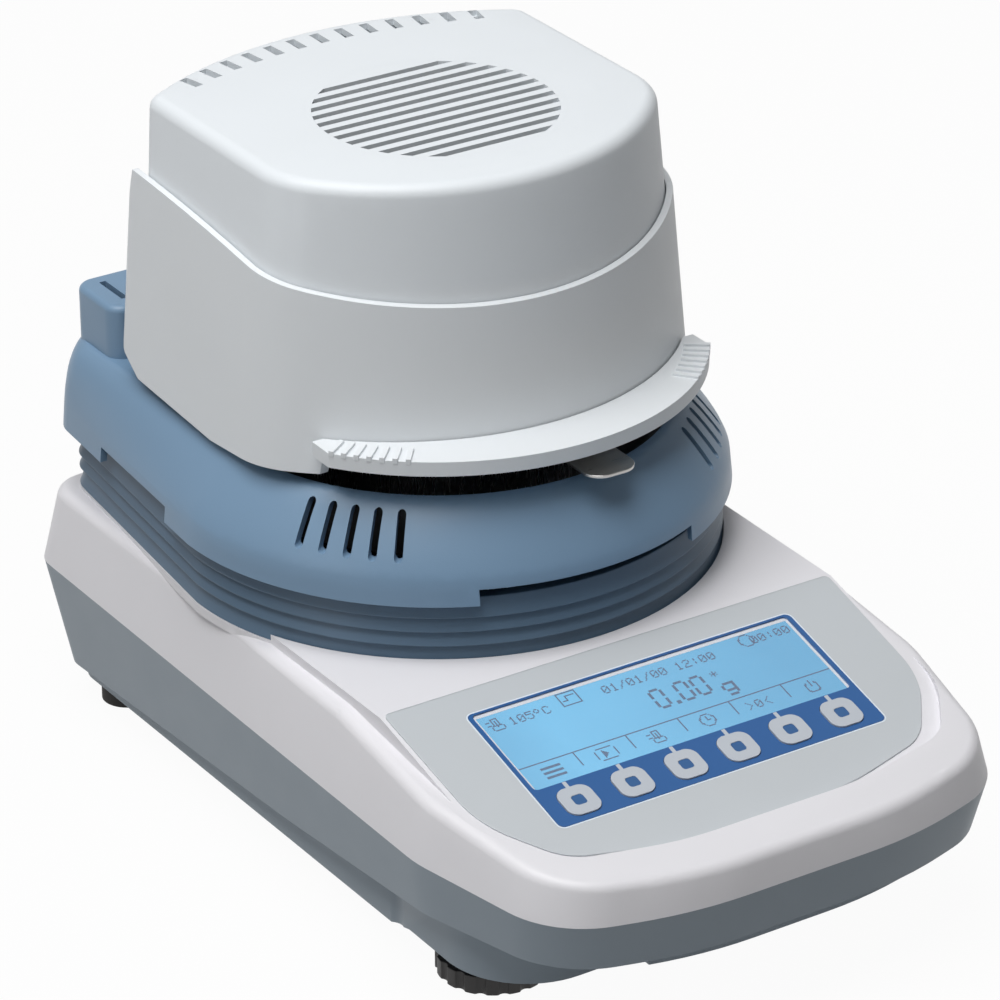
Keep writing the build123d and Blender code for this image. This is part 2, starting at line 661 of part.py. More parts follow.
def hood_grille():
    """Round louvred outlet: slanted blades in a shallow ring."""
    ring = Cylinder(GRILLE_RADIUS - 0.2, 5.0) - Cylinder(GRILLE_RADIUS - 2.2, 10.0)
    pitch = 2 * (GRILLE_RADIUS - 2.2) / LOUVRE_COUNT
    disc = Cylinder(GRILLE_RADIUS - 2.0, 20.0)
    blades = []
    for i in range(LOUVRE_COUNT - 1):
        y = -(GRILLE_RADIUS - 2.2) + pitch * (i + 1)
        blade = Pos(0, y, 0) * Rot(35.0, 0, 0) * Box(2 * GRILLE_RADIUS, 4.6, 1.3)
        blades.append(blade & disc)
    spine = Pos(0, 0, -2.0) * Box(3.0, 2 * GRILLE_RADIUS - 4.0, 1.2)
    body = joined([ring] + blades + [spine])
    return Pos(0, GRILLE_Y, HOOD_TOP_Z - 3.0) * body


def skirt_bottom():
    """Everything below the skirt's lower edge: high at the front, low along the sides."""
    return side_prism([
        (-120.0, 157.5),
        (9.0, 157.5),
        (9.5, 149.5),
        (60.0, 145.5),
        (112.0, 148.5),
        (124.0, 156.0),
        (SKIRT_REAR_Y + 10.0, 190.0),
        (SKIRT_REAR_Y + 10.0, 100.0),
        (-120.0, 100.0),
    ])


def hood_skirt():
    """Lower tier: an open-backed band outside the upper shell."""
    outer = loft([
        hood_plan(140.0, LEDGE_WIDTH, SKIRT_REAR_Y),
        hood_plan(230.0, LEDGE_WIDTH, SKIRT_REAR_Y),
    ])
    inner = loft([
        hood_plan(135.0, 0.2, SKIRT_REAR_Y + 40.0),
        hood_plan(235.0, 0.2, SKIRT_REAR_Y + 40.0),
    ])
    body = outer - inner - ledge_above() - skirt_bottom()
    slant = side_prism([(SKIRT_REAR_Y - 9.0, 232.0), (SKIRT_REAR_Y + 0.5, 196.0),
                        (SKIRT_REAR_Y + 20.0, 196.0), (SKIRT_REAR_Y + 20.0, 232.0)])
    return body - slant


def handle_flange():
    """Crescent lifting flange with serrated finger grips at its ends."""
    crescent = Pos(0, FLANGE_CENTRE_Y) * Circle(FLANGE_RADIUS)
    wall = (HOOD_CREST_Z - FLANGE_Z) * HOOD_DRAFT + LEDGE_WIDTH
    crescent = crescent - Pos(0, HOOD_CENTRE_Y) * Circle(HOOD_FRONT_RADIUS + wall + 0.6)
    crescent = crescent & Pos(0, -80.0) * Rectangle(2 * 79.0, 178.0)
    body = Pos(0, 0, FLANGE_Z - FLANGE_THICKNESS) * extrude(crescent.faces()[0], amount=FLANGE_THICKNESS)
    ridges = []
    for i in range(7):
        angle = 38.5 + i * 2.7
        ridge = Pos(0, -FLANGE_RADIUS + 4.5, FLANGE_Z) * Box(1.8, 9.5, 2.0)
        for side in (-1, 1):
            ridges.append(Pos(0, FLANGE_CENTRE_Y, 0) * Rot(0, 0, side * angle) * ridge)
    return joined([body] + ridges)


def hinge_barrel():
    """Hinge barrel and its plate on the back of the hood, between the tower's cheeks."""
    length = 2 * SADDLE_HALF_WIDTH - 3.0
    barrel = Pos(0, HINGE_Y, HINGE_Z) * Rot(0, 90, 0) * Cylinder(BARREL_RADIUS, length)
    plate = Pos(0, 139.0, 170.0) * Box(length - 4.0, 20.0, 36.0)
    plate = plate - loft([hood_plan(SHELL_REAR_Z - 5.0, 0.25), hood_plan(HOOD_TOP_Z, 0.25)])
    bore = Pos(0, HINGE_Y, HINGE_Z) * Rot(0, 90, 0) * Cylinder(HINGE_PIN_RADIUS, 200.0)
    return barrel + plate - bore


def hinge_pin(side):
    """Steel hinge pin pressed into the barrel."""
    length = 30.0
    middle = side * (SADDLE_HALF_WIDTH + 14.0 - length / 2)
    return Pos(middle, HINGE_Y, HINGE_Z) * Rot(0, 90, 0) * Cylinder(HINGE_PIN_RADIUS, length)


def hinge_bush(side):
    """Plastic bush in a cheek of the tower."""
    bush = Cylinder(6.0, 14.0) - Cylinder(HINGE_PIN_RADIUS + PIN_CLEARANCE, 20.0)
    return Pos(side * (SADDLE_HALF_WIDTH + 8.0), HINGE_Y, HINGE_Z) * Rot(0, 90, 0) * bush


def reflector():
    """Bright dished reflector over the ring lamp."""
    outer = Cone(60.0, 34.0, 24.0)
    inner = Pos(0, 0, -1.2) * Cone(60.0, 34.0, 24.0)
    vent = Cylinder(16.0, 60.0)
    return Pos(0, PAN_Y, 200.0) * (outer - inner - vent)


def halogen_lamp():
    """Ring-shaped halogen tube."""
    return Pos(0, PAN_Y, LAMP_Z) * Torus(LAMP_RADIUS, LAMP_TUBE)


def lamp_sockets():
    """Ceramic sockets at the ends of the ring lamp."""
    block = Pos(14.0, PAN_Y + LAMP_RADIUS + 10.5, LAMP_Z - 2.7) * Box(14.0, 12.0, 8.4)
    return solids(both_sides(block))


def lamp_glass():
    """Protective glass under the lamp."""
    return Pos(0, PAN_Y, GLASS_Z) * Cylinder(GLASS_RADIUS, 2.0)


def glass_frame():
    """Round frame that holds the protective glass."""
    ring = Cylinder(GLASS_RADIUS + 3.5, 5.0) - Cylinder(GLASS_RADIUS + 0.2, 10.0)
    lip = Pos(0, 0, -2.0) * (Cylinder(GLASS_RADIUS + 3.5, 1.0) - Cylinder(GLASS_RADIUS - 3.0, 6.0))
    tab = Pos(GLASS_RADIUS + 6.0, 0, 0) * Box(8.0, 10.0, 3.0)
    tabs = [Rot(0, 0, angle) * tab for angle in (35.0, 145.0, 215.0, 325.0)]
    return Pos(0, PAN_Y, GLASS_Z) * joined([ring, lip] + tabs)


def temperature_probe():
    """Thin temperature probe beside the lamp."""
    return Pos(24.0, PAN_Y, 163.0) * Cylinder(1.5, 14.0)


# Rear and feet

def inlet_block(grow=0.0):
    """Body of the mains inlet, grown for its cut-out."""
    return Pos(INLET_X, 166.0, INLET_Z) * Box(30.0 + grow, 16.0, 24.0 + grow)


def power_inlet():
    """Mains inlet with its recessed contacts."""
    well = Pos(INLET_X, 169.0, INLET_Z) * Box(22.0, 14.0, 16.0)
    pins = [Pos(INLET_X + dx, 166.0, INLET_Z + dz) * Box(2.0, 12.0, 4.0)
            for dx, dz in ((-6.0, -2.0), (6.0, -2.0), (0.0, 3.0))]
    return joined([inlet_block() - well] + pins)


def foot_wheel(x):
    """Fluted levelling wheel with its threaded stud."""
    wheel = Pos(0, 0, 2.0) * Cylinder(FOOT_RADIUS, 7.0, align=(Align.CENTER, Align.CENTER, Align.MIN))
    for i in range(FOOT_FLUTES):
        flute = Rot(0, 0, 360.0 / FOOT_FLUTES * i) * Pos(FOOT_RADIUS + 1.4, 0, 5.0) * Cylinder(2.4, 10.0)
        wheel = wheel - flute
    stud = Pos(0, 0, 8.0) * Cylinder(STUD_RADIUS, 26.0, align=(Align.CENTER, Align.CENTER, Align.MIN))
    return Pos(x, FOOT_Y, 0) * (wheel + stud)


def foot_pad(x):
    """Rubber pad that stays still while the wheel turns on it."""
    return Pos(x, FOOT_Y, 0) * Cylinder(13.0, 2.0, align=(Align.CENTER, Align.CENTER, Align.MIN))


def foot_insert(x):
    """Brass insert that the levelling stud runs in."""
    tube = Cylinder(7.0, 16.0) - Cylinder(STUD_RADIUS + PIN_CLEARANCE, 30.0)
    return Pos(x, FOOT_Y, TRAY_NOSE_Z + 9.0) * tube


def rear_foot(x):
    """Fixed rubber foot."""
    return Pos(x, REAR_FOOT_Y, 0) * Cylinder(10.0, TRAY_Z, align=(Align.CENTER, Align.CENTER, Align.MIN))


def main():
    """Build and write every node."""
    save("base_top_casing", base_top_casing())
    save("base_bottom_casing", base_bottom_casing())
    save("control_overlay", control_overlay())
    save("display_bezel", display_bezel())
    save("lcd_window", lcd_window())
    save("lcd_module", lcd_module())
    for number, x in enumerate(key_centres(), start=1):
        save(f"key_{number}", key_cap(x))
    save("key_board", key_board())
    save("main_board", main_board())
    save("chamber_collar", chamber_collar())
    save("chamber_housing", chamber_housing())
    save("chamber_well", chamber_well())
    save("heat_shield", heat_shield())
    save("load_cell", load_cell())
    save("load_cell_bracket", load_cell_bracket())
    save("pan_carrier", pan_carrier())
    save("sample_pan", sample_pan())
    save("pan_lifter", pan_lifter())
    save("hood_top_shell", hood_top_shell())
    save("vent_baffle", vent_baffle())
    save("hood_grille", hood_grille())
    save("hood_skirt", hood_skirt())
    save("handle_flange", handle_flange())
    save("hinge_barrel", hinge_barrel())
    save("hinge_pins", solids([hinge_pin(-1), hinge_pin(1)]))
    save("hinge_bushes", solids([hinge_bush(-1), hinge_bush(1)]))
    save("reflector", reflector())
    save("halogen_lamp", halogen_lamp())
    save("lamp_sockets", lamp_sockets())
    save("lamp_glass", lamp_glass())
    save("glass_frame", glass_frame())
    save("temperature_probe", temperature_probe())
    save("power_inlet", power_inlet())
    for name, x in (("left", -FOOT_X), ("right", FOOT_X)):
        save(f"foot_wheel_{name}", foot_wheel(x))
        save(f"foot_pad_{name}", foot_pad(x))
    save("foot_inserts", solids([foot_insert(-FOOT_X), foot_insert(FOOT_X)]))
    save("rear_feet", solids([rear_foot(-REAR_FOOT_X), rear_foot(REAR_FOOT_X)]))


main()
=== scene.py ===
"""Looks of a bench moisture analyser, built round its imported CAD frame.

Everything is in metres, +Z up, -Y towards the person at the display. The classes follow the
object's own sub-assemblies: base, control panel, drying chamber, hood and feet.
"""

import json
import logging
from dataclasses import dataclass, field
from enum import Enum
from functools import cache
from math import cos, pi, radians, sin
from typing import Any, Callable, Iterable, Sequence

import bmesh
import bpy
from mathutils import Matrix, Vector

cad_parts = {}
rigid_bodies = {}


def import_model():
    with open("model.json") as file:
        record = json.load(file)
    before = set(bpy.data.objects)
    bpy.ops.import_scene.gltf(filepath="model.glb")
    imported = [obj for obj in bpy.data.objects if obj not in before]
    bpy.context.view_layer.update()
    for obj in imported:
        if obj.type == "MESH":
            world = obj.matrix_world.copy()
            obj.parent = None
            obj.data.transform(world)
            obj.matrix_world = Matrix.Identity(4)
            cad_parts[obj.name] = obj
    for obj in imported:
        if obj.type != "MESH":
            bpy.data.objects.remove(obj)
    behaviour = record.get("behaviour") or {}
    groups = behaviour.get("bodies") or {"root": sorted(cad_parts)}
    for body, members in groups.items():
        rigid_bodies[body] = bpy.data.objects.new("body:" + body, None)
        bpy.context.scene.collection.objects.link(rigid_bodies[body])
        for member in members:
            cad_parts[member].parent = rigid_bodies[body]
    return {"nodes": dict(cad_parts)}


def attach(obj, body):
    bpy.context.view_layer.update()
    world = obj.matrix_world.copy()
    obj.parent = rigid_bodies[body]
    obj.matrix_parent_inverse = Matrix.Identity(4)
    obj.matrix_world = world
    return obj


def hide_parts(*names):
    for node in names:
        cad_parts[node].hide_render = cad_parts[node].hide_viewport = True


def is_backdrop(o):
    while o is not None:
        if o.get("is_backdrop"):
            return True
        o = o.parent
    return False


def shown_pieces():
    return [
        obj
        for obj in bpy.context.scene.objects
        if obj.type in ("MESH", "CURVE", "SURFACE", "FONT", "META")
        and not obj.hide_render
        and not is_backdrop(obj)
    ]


LOG = logging.getLogger("moisture_analyser")
MM = 0.001
WELD_GAP = 0.000004
FLAT_DEG = 0.3
BEVEL_WEIGHT = "bevel_weight_edge"

Colour = tuple[float, float, float]


def clear_scene() -> None:
    """Take away whatever a new file starts with."""
    for thing in list(bpy.data.objects):
        bpy.data.objects.remove(thing)


clear_scene()
FRAME: dict[str, Any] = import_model()


# Colours

def srgb(red: int, green: int, blue: int) -> Colour:
    """Work out a linear colour from an 8-bit screen colour.

    Args:
        red: Red, 0 to 255.
        green: Green, 0 to 255.
        blue: Blue, 0 to 255.

    Returns:
        The linear colour.
    """
    def linear(value: int) -> float:
        """One channel of it."""
        share = value / 255
        return share / 12.92 if share <= 0.04045 else ((share + 0.055) / 1.055) ** 2.4
    return linear(red), linear(green), linear(blue)


def shaded(colour: Colour, factor: float) -> Colour:
    """The colour, darker or lighter by a factor."""
    return tuple(channel * factor for channel in colour)


# Shader building

class Wire:
    """A shader socket that takes part in arithmetic expressions."""

    def __init__(self, tree: "Tree", socket: bpy.types.NodeSocket | None) -> None:
        """Keep the socket, if the node has one, and the tree that it is in."""
        self.tree = tree
        self.socket = socket

    def _maths(self, operation: str, first: Any, second: Any) -> "Wire":
        """Add one Math node for an operation on values."""
        return self.tree.add("ShaderNodeMath", {0: first, 1: second}, operation=operation)

    def __add__(self, other: Any) -> "Wire":
        """Sum."""
        return self._maths("ADD", self, other)

    __radd__ = __add__

    def __mul__(self, other: Any) -> "Wire":
        """Product."""
        return self._maths("MULTIPLY", self, other)

    __rmul__ = __mul__

    def __sub__(self, other: Any) -> "Wire":
        """Difference."""
        return self._maths("SUBTRACT", self, other)

    def __rsub__(self, other: Any) -> "Wire":
        """Difference from a value."""
        return self._maths("SUBTRACT", other, self)

    def or_more(self, other: Any) -> "Wire":
        """The larger of two values."""
        return self._maths("MAXIMUM", self, other)


class Tree:
    """Node tree of a material or of the world."""

    def __init__(self, owner: bpy.types.Material | bpy.types.World) -> None:
        """Empty the tree of a new material or world.

        Args:
            owner: The material or world.
        """
        owner.use_nodes = True
        self.owner = owner
        self.nodes = owner.node_tree.nodes
        self.links = owner.node_tree.links
        self.nodes.clear()

    @classmethod
    def material(cls, name: str) -> "Tree":
        """Tree of a new material."""
        return cls(bpy.data.materials.new(name))

    def add(self, kind: str, values: dict[Any, Any] | None = None, out: Any = 0,
            **settings: Any) -> Wire:
        """Add a node, set it up, and fill its sockets.

        Args:
            kind: The node's type.
            values: Socket name or index to a value or a Wire.
            out: Name or index of the output to hand on.
            **settings: The node's own settings, set first.

        Returns:
            The chosen output, empty for a node that ends the tree.
        """
        node = self.nodes.new(kind)
        for key, value in settings.items():
            if key == "stops":
                self._ramp(node, value)
            else:
                setattr(node, key, value)
        for key, value in (values or {}).items():
            if isinstance(value, Wire):
                self.links.new(value.socket, node.inputs[key])
            elif isinstance(value, tuple) and len(value) == 3 and node.inputs[key].type == "RGBA":
                node.inputs[key].default_value = (*value, 1.0)
            else:
                node.inputs[key].default_value = value
        return Wire(self, node.outputs[out] if len(node.outputs) else None)

    @staticmethod
    def _ramp(node: bpy.types.Node, stops: Sequence[tuple[float, Colour]]) -> None:
        """Set the stops of a colour ramp.

        Args:
            node: The Color Ramp node.
            stops: Place and colour of each stop, in order.
        """
        ramp = node.color_ramp
        while len(ramp.elements) < len(stops):
            ramp.elements.new(0.5)
        for element, (place, colour) in zip(ramp.elements, stops):
            element.position = place
            element.color = (*colour, 1.0)

    def place(self) -> Wire:
        """Object coordinates, in metres."""
        return self.add("ShaderNodeTexCoord", out="Object")

    def noise(self, scale: float, detail: float = 2.0, at: Wire | None = None) -> Wire:
        """Fractal noise, about 0.5, of so many features to the metre."""
        where = at if at is not None else self.place()
        return self.add("ShaderNodeTexNoise", {"Vector": where, "Scale": scale, "Detail": detail})

    def mix(self, share: Any, first: Any, second: Any) -> Wire:
        """Blend two colours."""
        return self.add("ShaderNodeMix", {0: share, 6: first, 7: second}, out=2, data_type="RGBA")

    def bump(self, height: Wire, distance: float) -> Wire:
        """Surface normal from a height field."""
        return self.add("ShaderNodeBump", {"Height": height, "Distance": distance, "Strength": 1.0})

    def finish(self, values: dict[str, Any]) -> bpy.types.Material:
        """Close the tree with a Principled shader.

        Args:
            values: Socket name to value or Wire.

        Returns:
            The finished material.
        """
        self.close("ShaderNodeOutputMaterial",
                   self.add("ShaderNodeBsdfPrincipled", values, out="BSDF"))
        return self.owner

    def close(self, kind: str, shader: Wire) -> None:
        """End the tree with an output node of the given type."""
        self.add(kind, {"Surface": shader})


def about(middle: float, width: float, noise: Wire) -> Wire:
    """Spread a noise of 0 to 1 over a range of values round its middle."""
    return noise * width + (middle - width / 2)


# Finishes

@dataclass(frozen=True)
class MouldedPlastic:
    """Moulded plastic with a fine spark-eroded skin."""

    name: str
    colour: Colour
    roughness: float = 0.42
    grain: float = 0.00003
    grain_scale: float = 2600.0
    shade: float = 0.95
    cloud_scale: float = 14.0
    touch_scale: float = 60.0
    touch: float = 0.10
    specular: float = 0.42

    def build(self) -> bpy.types.Material:
        """Make the material.

        Returns:
            The material.
        """
        tree = Tree.material(self.name)
        cloud = tree.noise(self.cloud_scale, 3.0)
        return tree.finish({
            "Base Color": tree.mix(cloud, shaded(self.colour, self.shade), self.colour),
            "Roughness": about(self.roughness, self.touch, tree.noise(self.touch_scale, 4.0)),
            "Normal": tree.bump(tree.noise(self.grain_scale), self.grain),
            "Specular IOR Level": self.specular,
        })


@dataclass(frozen=True)
class PrintedFilm:
    """Flat printed polyester film."""

    name: str
    colour: Colour
    roughness: float = 0.38
    shade: float = 0.965
    cloud_scale: float = 30.0
    touch_scale: float = 90.0
    touch: float = 0.08
    speck_scale: float = 5200.0
    speck: float = 0.000008

    def build(self) -> bpy.types.Material:
        """Make the material.

        Returns:
            The material.
        """
        tree = Tree.material(self.name)
        cloud = tree.noise(self.cloud_scale)
        return tree.finish({
            "Base Color": tree.mix(cloud, shaded(self.colour, self.shade), self.colour),
            "Roughness": about(self.roughness, self.touch, tree.noise(self.touch_scale, 3.0)),
            "Normal": tree.bump(tree.noise(self.speck_scale, 1.0), self.speck),
        })


@dataclass(frozen=True)
class BareMetal:
    """Bare metal with fine drawn or turned marks."""

    name: str
    colour: Colour
    roughness: float = 0.28
    stretch: tuple[float, float, float] = (90.0, 2600.0, 90.0)
    shade: float = 0.86
    touch: float = 0.14
    groove: float = 0.000012

    def build(self) -> bpy.types.Material:
        """Make the material.

        Returns:
            The material.
        """
        tree = Tree.material(self.name)
        drawn = tree.add("ShaderNodeMapping", {"Vector": tree.place(), "Scale": self.stretch})
        marks = tree.noise(1.0, 3.0, drawn)
        return tree.finish({
            "Base Color": tree.mix(marks, shaded(self.colour, self.shade), self.colour),
            "Metallic": 1.0,
            "Roughness": about(self.roughness, self.touch, marks),
            "Normal": tree.bump(marks, self.groove),
        })


@dataclass(frozen=True)
class MattBlack:
    """Matt black coating, rubber or black moulding."""

    name: str
    colour: Colour
    roughness: float
    dusty: float = 1.8
    dust_scale: float = 45.0
    touch: float = 0.2
    grain: float = 0.00004
    grain_scale: float = 1900.0

    def build(self) -> bpy.types.Material:
        """Make the material.

        Returns:
            The material.
        """
        tree = Tree.material(self.name)
        dust = tree.noise(self.dust_scale, 5.0)
        return tree.finish({
            "Base Color": tree.mix(dust, self.colour, shaded(self.colour, self.dusty)),
            "Roughness": about(self.roughness, self.touch, dust),
            "Normal": tree.bump(tree.noise(self.grain_scale), self.grain),
        })


@dataclass(frozen=True)
class ClearPane:
    """Clear pane: mostly seen through, with a clean gloss."""

    name: str
    alpha: float = 0.10
    colour: Colour = (0.80, 0.90, 0.95)
    roughness: float = 0.08
    smear: float = 0.06
    smear_scale: float = 40.0

    def build(self) -> bpy.types.Material:
        """Make the material.

        Returns:
            The material.
        """
        tree = Tree.material(self.name)
        return tree.finish({
            "Base Color": self.colour,
            "Roughness": about(self.roughness, self.smear, tree.noise(self.smear_scale, 3.0)),
            "Alpha": self.alpha,
        })


@dataclass(frozen=True)
class BacklitScreen:
    """Back-lit display face, brighter left of its middle than at its ends."""

    name: str
    bright: Colour
    deep: Colour
    low_x: float = -66.0 * MM
    span_x: float = 132.0 * MM
    brightest: float = 0.32
    faded: float = 1.05
    cloud: float = 0.25
    cloud_scale: float = 35.0
    glass: Colour = (0.01, 0.02, 0.03)
    roughness: float = 0.5

    def build(self) -> bpy.types.Material:
        """Make the material.

        Returns:
            The material.
        """
        tree = Tree.material(self.name)
        x = tree.add("ShaderNodeSeparateXYZ", {"Vector": tree.place()}, out="X")
        across = (x - self.low_x) * (1 / self.span_x) + tree.noise(self.cloud_scale) * self.cloud
        glow = tree.add("ShaderNodeValToRGB", {"Fac": across},
                        stops=((0.0, self.deep), (self.brightest, self.bright), (self.faded, self.deep)))
        return tree.finish({
            "Base Color": self.glass,
            "Roughness": self.roughness,
            "Emission Color": glow,
            "Emission Strength": 1.0,
        })


class Finish(Enum):
    """Every finish on the object."""

    WHITE_CASE = MouldedPlastic("white_case", srgb(231, 230, 234), 0.40)
    GREY_CASE = MouldedPlastic("grey_case", srgb(146, 159, 170), 0.45)
    HOOD_WHITE = MouldedPlastic("hood_white", srgb(230, 235, 239), 0.42)
    # The hood's white plastic, a little darker, as painted shade on the skirt, flange and baffle.
    HOOD_WHITE_PAINTED_SHADE = MouldedPlastic("hood_grey", srgb(229, 233, 236), 0.42)
    HOUSING_BLUE = MouldedPlastic("housing_blue", srgb(120, 149, 176), 0.36)
    # The collar is the housing's blue plastic, made darker as painted shade from the lip above it.
    COLLAR_BLUE_PAINTED_SHADE = MouldedPlastic("collar_blue_painted_shade", srgb(88, 112, 134), 0.40)
    OVERLAY = PrintedFilm("overlay_film", srgb(197, 202, 206))
    FIELD_BLUE = PrintedFilm("field_blue", srgb(46, 96, 156), 0.30)
    FIELD_EDGE = PrintedFilm("field_edge", srgb(225, 235, 245), 0.35)
    INK = PrintedFilm("display_ink", srgb(20, 50, 104), 0.4)
    KEY = MouldedPlastic("key_silver", srgb(192, 198, 206), 0.38, 0.00001)
    KEY_EYE = PrintedFilm("key_eye", srgb(52, 96, 148), 0.3)
    SCREEN = BacklitScreen("backlit_screen", srgb(88, 182, 230), srgb(62, 154, 202))
    PANE = ClearPane("display_pane")
    WELL = MattBlack("well_black", (0.010, 0.010, 0.011), 0.55)
    BLACK = MattBlack("black_moulding", (0.014, 0.013, 0.013), 0.5)
    RUBBER = MattBlack("foot_rubber", (0.018, 0.017, 0.016), 0.75)
    STEEL = BareMetal("bare_steel", (0.52, 0.51, 0.49), 0.30)
    ALUMINIUM = BareMetal("pan_aluminium", (0.78, 0.78, 0.79), 0.26, (1500.0, 1500.0, 90.0))
    BRASS = BareMetal("turned_brass", (0.72, 0.53, 0.24), 0.3, (200.0, 200.0, 3000.0))
    BRIGHT = BareMetal("bright_reflector", (0.86, 0.84, 0.80), 0.12, (400.0, 400.0, 400.0))
    GLASS = ClearPane("lamp_glass", 0.25)
    CERAMIC = MouldedPlastic("lamp_ceramic", srgb(226, 220, 205), 0.7, 0.00006)
    CIRCUIT = MouldedPlastic("circuit_board", srgb(38, 98, 62), 0.4)

    @cache
    def material(self) -> bpy.types.Material:
        """The finish's material, made once."""
        return self.value.build()


# Meshes

def new_piece(name: str, shape: bmesh.types.BMesh, finish: Finish,
              smooth_deg: float = 30.0) -> bpy.types.Object:
    """Turn a bmesh into a piece.

    Args:
        name: The piece's name.
        shape: Its mesh, in place; it is freed.
        finish: What it is finished in.
        smooth_deg: Faces that meet at less than this shade smoothly.

    Returns:
        The new object, linked to the scene.
    """
    limit = radians(smooth_deg)
    for face in shape.faces:
        face.smooth = True
    for edge in shape.edges:
        edge.smooth = len(edge.link_faces) == 2 and edge.calc_face_angle(pi) < limit
    mesh = bpy.data.meshes.new(name)
    shape.to_mesh(mesh)
    shape.free()
    piece = bpy.data.objects.new(name, mesh)
    bpy.context.scene.collection.objects.link(piece)
    mesh.materials.append(finish.material())
    return piece


def round_edges(piece: bpy.types.Object, width: float, segments: int) -> None:
    """Round the edges of a piece that carry a bevel weight.

    Args:
        piece: The piece.
        width: Width of the rounding.
        segments: Steps across the rounding.
    """
    bevel = piece.modifiers.new("rounding", "BEVEL")
    bevel.width = width
    bevel.segments = segments
    bevel.limit_method = "WEIGHT"
    bevel.use_clamp_overlap = True
    bevel.harden_normals = True


def mark_edges(shape: bmesh.types.BMesh, angle_deg: float, stays: Callable[[Vector], bool]) -> None:
    """Give a bevel weight to the sharp edges of a mesh, except where it stays sharp.

    Args:
        shape: The mesh.
        angle_deg: Edges sharper than this are marked.
        stays: True at the middle of an edge that stays sharp.
    """
    weight = shape.edges.layers.float.new(BEVEL_WEIGHT)
    for edge in shape.edges:
        middle = (edge.verts[0].co + edge.verts[1].co) / 2
        sharp = len(edge.link_faces) == 2 and edge.calc_face_angle(0.0) > radians(angle_deg)
        edge[weight] = 1.0 if sharp and not stays(middle) else 0.0


def soften(node: str, finish: Finish, width: float, segments: int, angle_deg: float,
           body: str = "base", stays: Callable[[Vector], bool] = lambda middle: False) -> None:
    """Put a merged copy with rounded edges in the place of a CAD node.

    Args:
        node: The CAD node.
        finish: What it is finished in.
        width: Width of the rounding.
        segments: Steps across the rounding.
        angle_deg: Edges sharper than this are rounded.
        body: The CAD body that it rides on.
        stays: True at the middle of an edge that stays sharp.
    """
    shape = bmesh.new()
    shape.from_mesh(FRAME["nodes"][node].data)
    bmesh.ops.remove_doubles(shape, verts=shape.verts, dist=WELD_GAP)
    bmesh.ops.dissolve_limit(shape, angle_limit=radians(FLAT_DEG), verts=shape.verts, edges=shape.edges)
    mark_edges(shape, angle_deg, stays)
    piece = new_piece(f"{node}_skin", shape, finish, angle_deg)
    round_edges(piece, width, segments)
    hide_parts(node)
    ride(piece, body)


def ride(piece: bpy.types.Object, body: str) -> None:
    """Let a piece move with a body."""
    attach(piece, body)


def dress(finish: Finish, *nodes: str) -> None:
    """Give CAD nodes that keep their own shape a finish.

    Args:
        finish: The finish.
        *nodes: The CAD nodes.
    """
    for node in nodes:
        mesh = FRAME["nodes"][node].data
        mesh.materials.clear()
        mesh.materials.append(finish.material())


def rounded_face(shape: bmesh.types.BMesh, width: float, height: float, radius: float,
                 centre: tuple[float, float] = (0.0, 0.0), steps: int = 6) -> bmesh.types.BMFace:
    """Add a flat rectangle with rounded corners.

    Args:
        shape: The mesh to add to.
        width: Its size along X.
        height: Its size along Y.
        radius: Radius of its corners.
        centre: Where its middle is.
        steps: Edges round each corner.

    Returns:
        The new face.
    """
    part = bmesh.new()
    bmesh.ops.create_grid(part, x_segments=1, y_segments=1, size=0.5)
    bmesh.ops.scale(part, vec=(width, height, 1), verts=part.verts)
    bmesh.ops.bevel(part, geom=part.verts[:], offset=radius, offset_type="OFFSET", segments=steps,
                    profile=0.5, affect="VERTICES", material=-1)
    bmesh.ops.translate(part, vec=(*centre, 0), verts=part.verts)
    return take(shape, part)[0]


def take(shape: bmesh.types.BMesh, part: bmesh.types.BMesh) -> list[bmesh.types.BMFace]:
    """Move a part's geometry into a mesh.

    Args:
        shape: The mesh to add to.
        part: What is added; it is freed.

    Returns:
        The part's faces in the mesh.
    """
    held = bpy.data.meshes.new("held")
    part.to_mesh(held)
    part.free()
    before = len(shape.faces)
    shape.from_mesh(held)
    bpy.data.meshes.remove(held)
    shape.faces.ensure_lookup_table()
    return shape.faces[before:]


def thicken(shape: bmesh.types.BMesh, faces: Sequence[bmesh.types.BMFace], height: float) -> None:
    """Raise flat faces into a closed solid.

    Args:
        shape: The mesh that they are in.
        faces: The faces.
        height: Height of the solid, below zero for one that goes down.
    """
    made = bmesh.ops.extrude_face_region(shape, geom=faces, use_keep_orig=True)
    raised = [v for v in made["geom"] if isinstance(v, bmesh.types.BMVert)]
    bmesh.ops.translate(shape, verts=raised, vec=(0, 0, height))
    bmesh.ops.recalc_face_normals(shape, faces=shape.faces)


def pierced(faces: Sequence[bmesh.types.BMFace], shape: bmesh.types.BMesh) -> list[bmesh.types.BMFace]:
    """Fill between the outlines of flat faces, so that the inner ones become holes.

    Args:
        faces: The outer face and those inside it, which are deleted.
        shape: The mesh that they are in.

    Returns:
        The faces between the outlines.
    """
    edges = [edge for face in faces for edge in face.edges]
    bmesh.ops.delete(shape, geom=list(faces), context="FACES_ONLY")
    made = bmesh.ops.triangle_fill(shape, edges=edges, use_beauty=True, use_dissolve=False)
    return [f for f in made["geom"] if isinstance(f, bmesh.types.BMFace)]


# Dot-matrix display

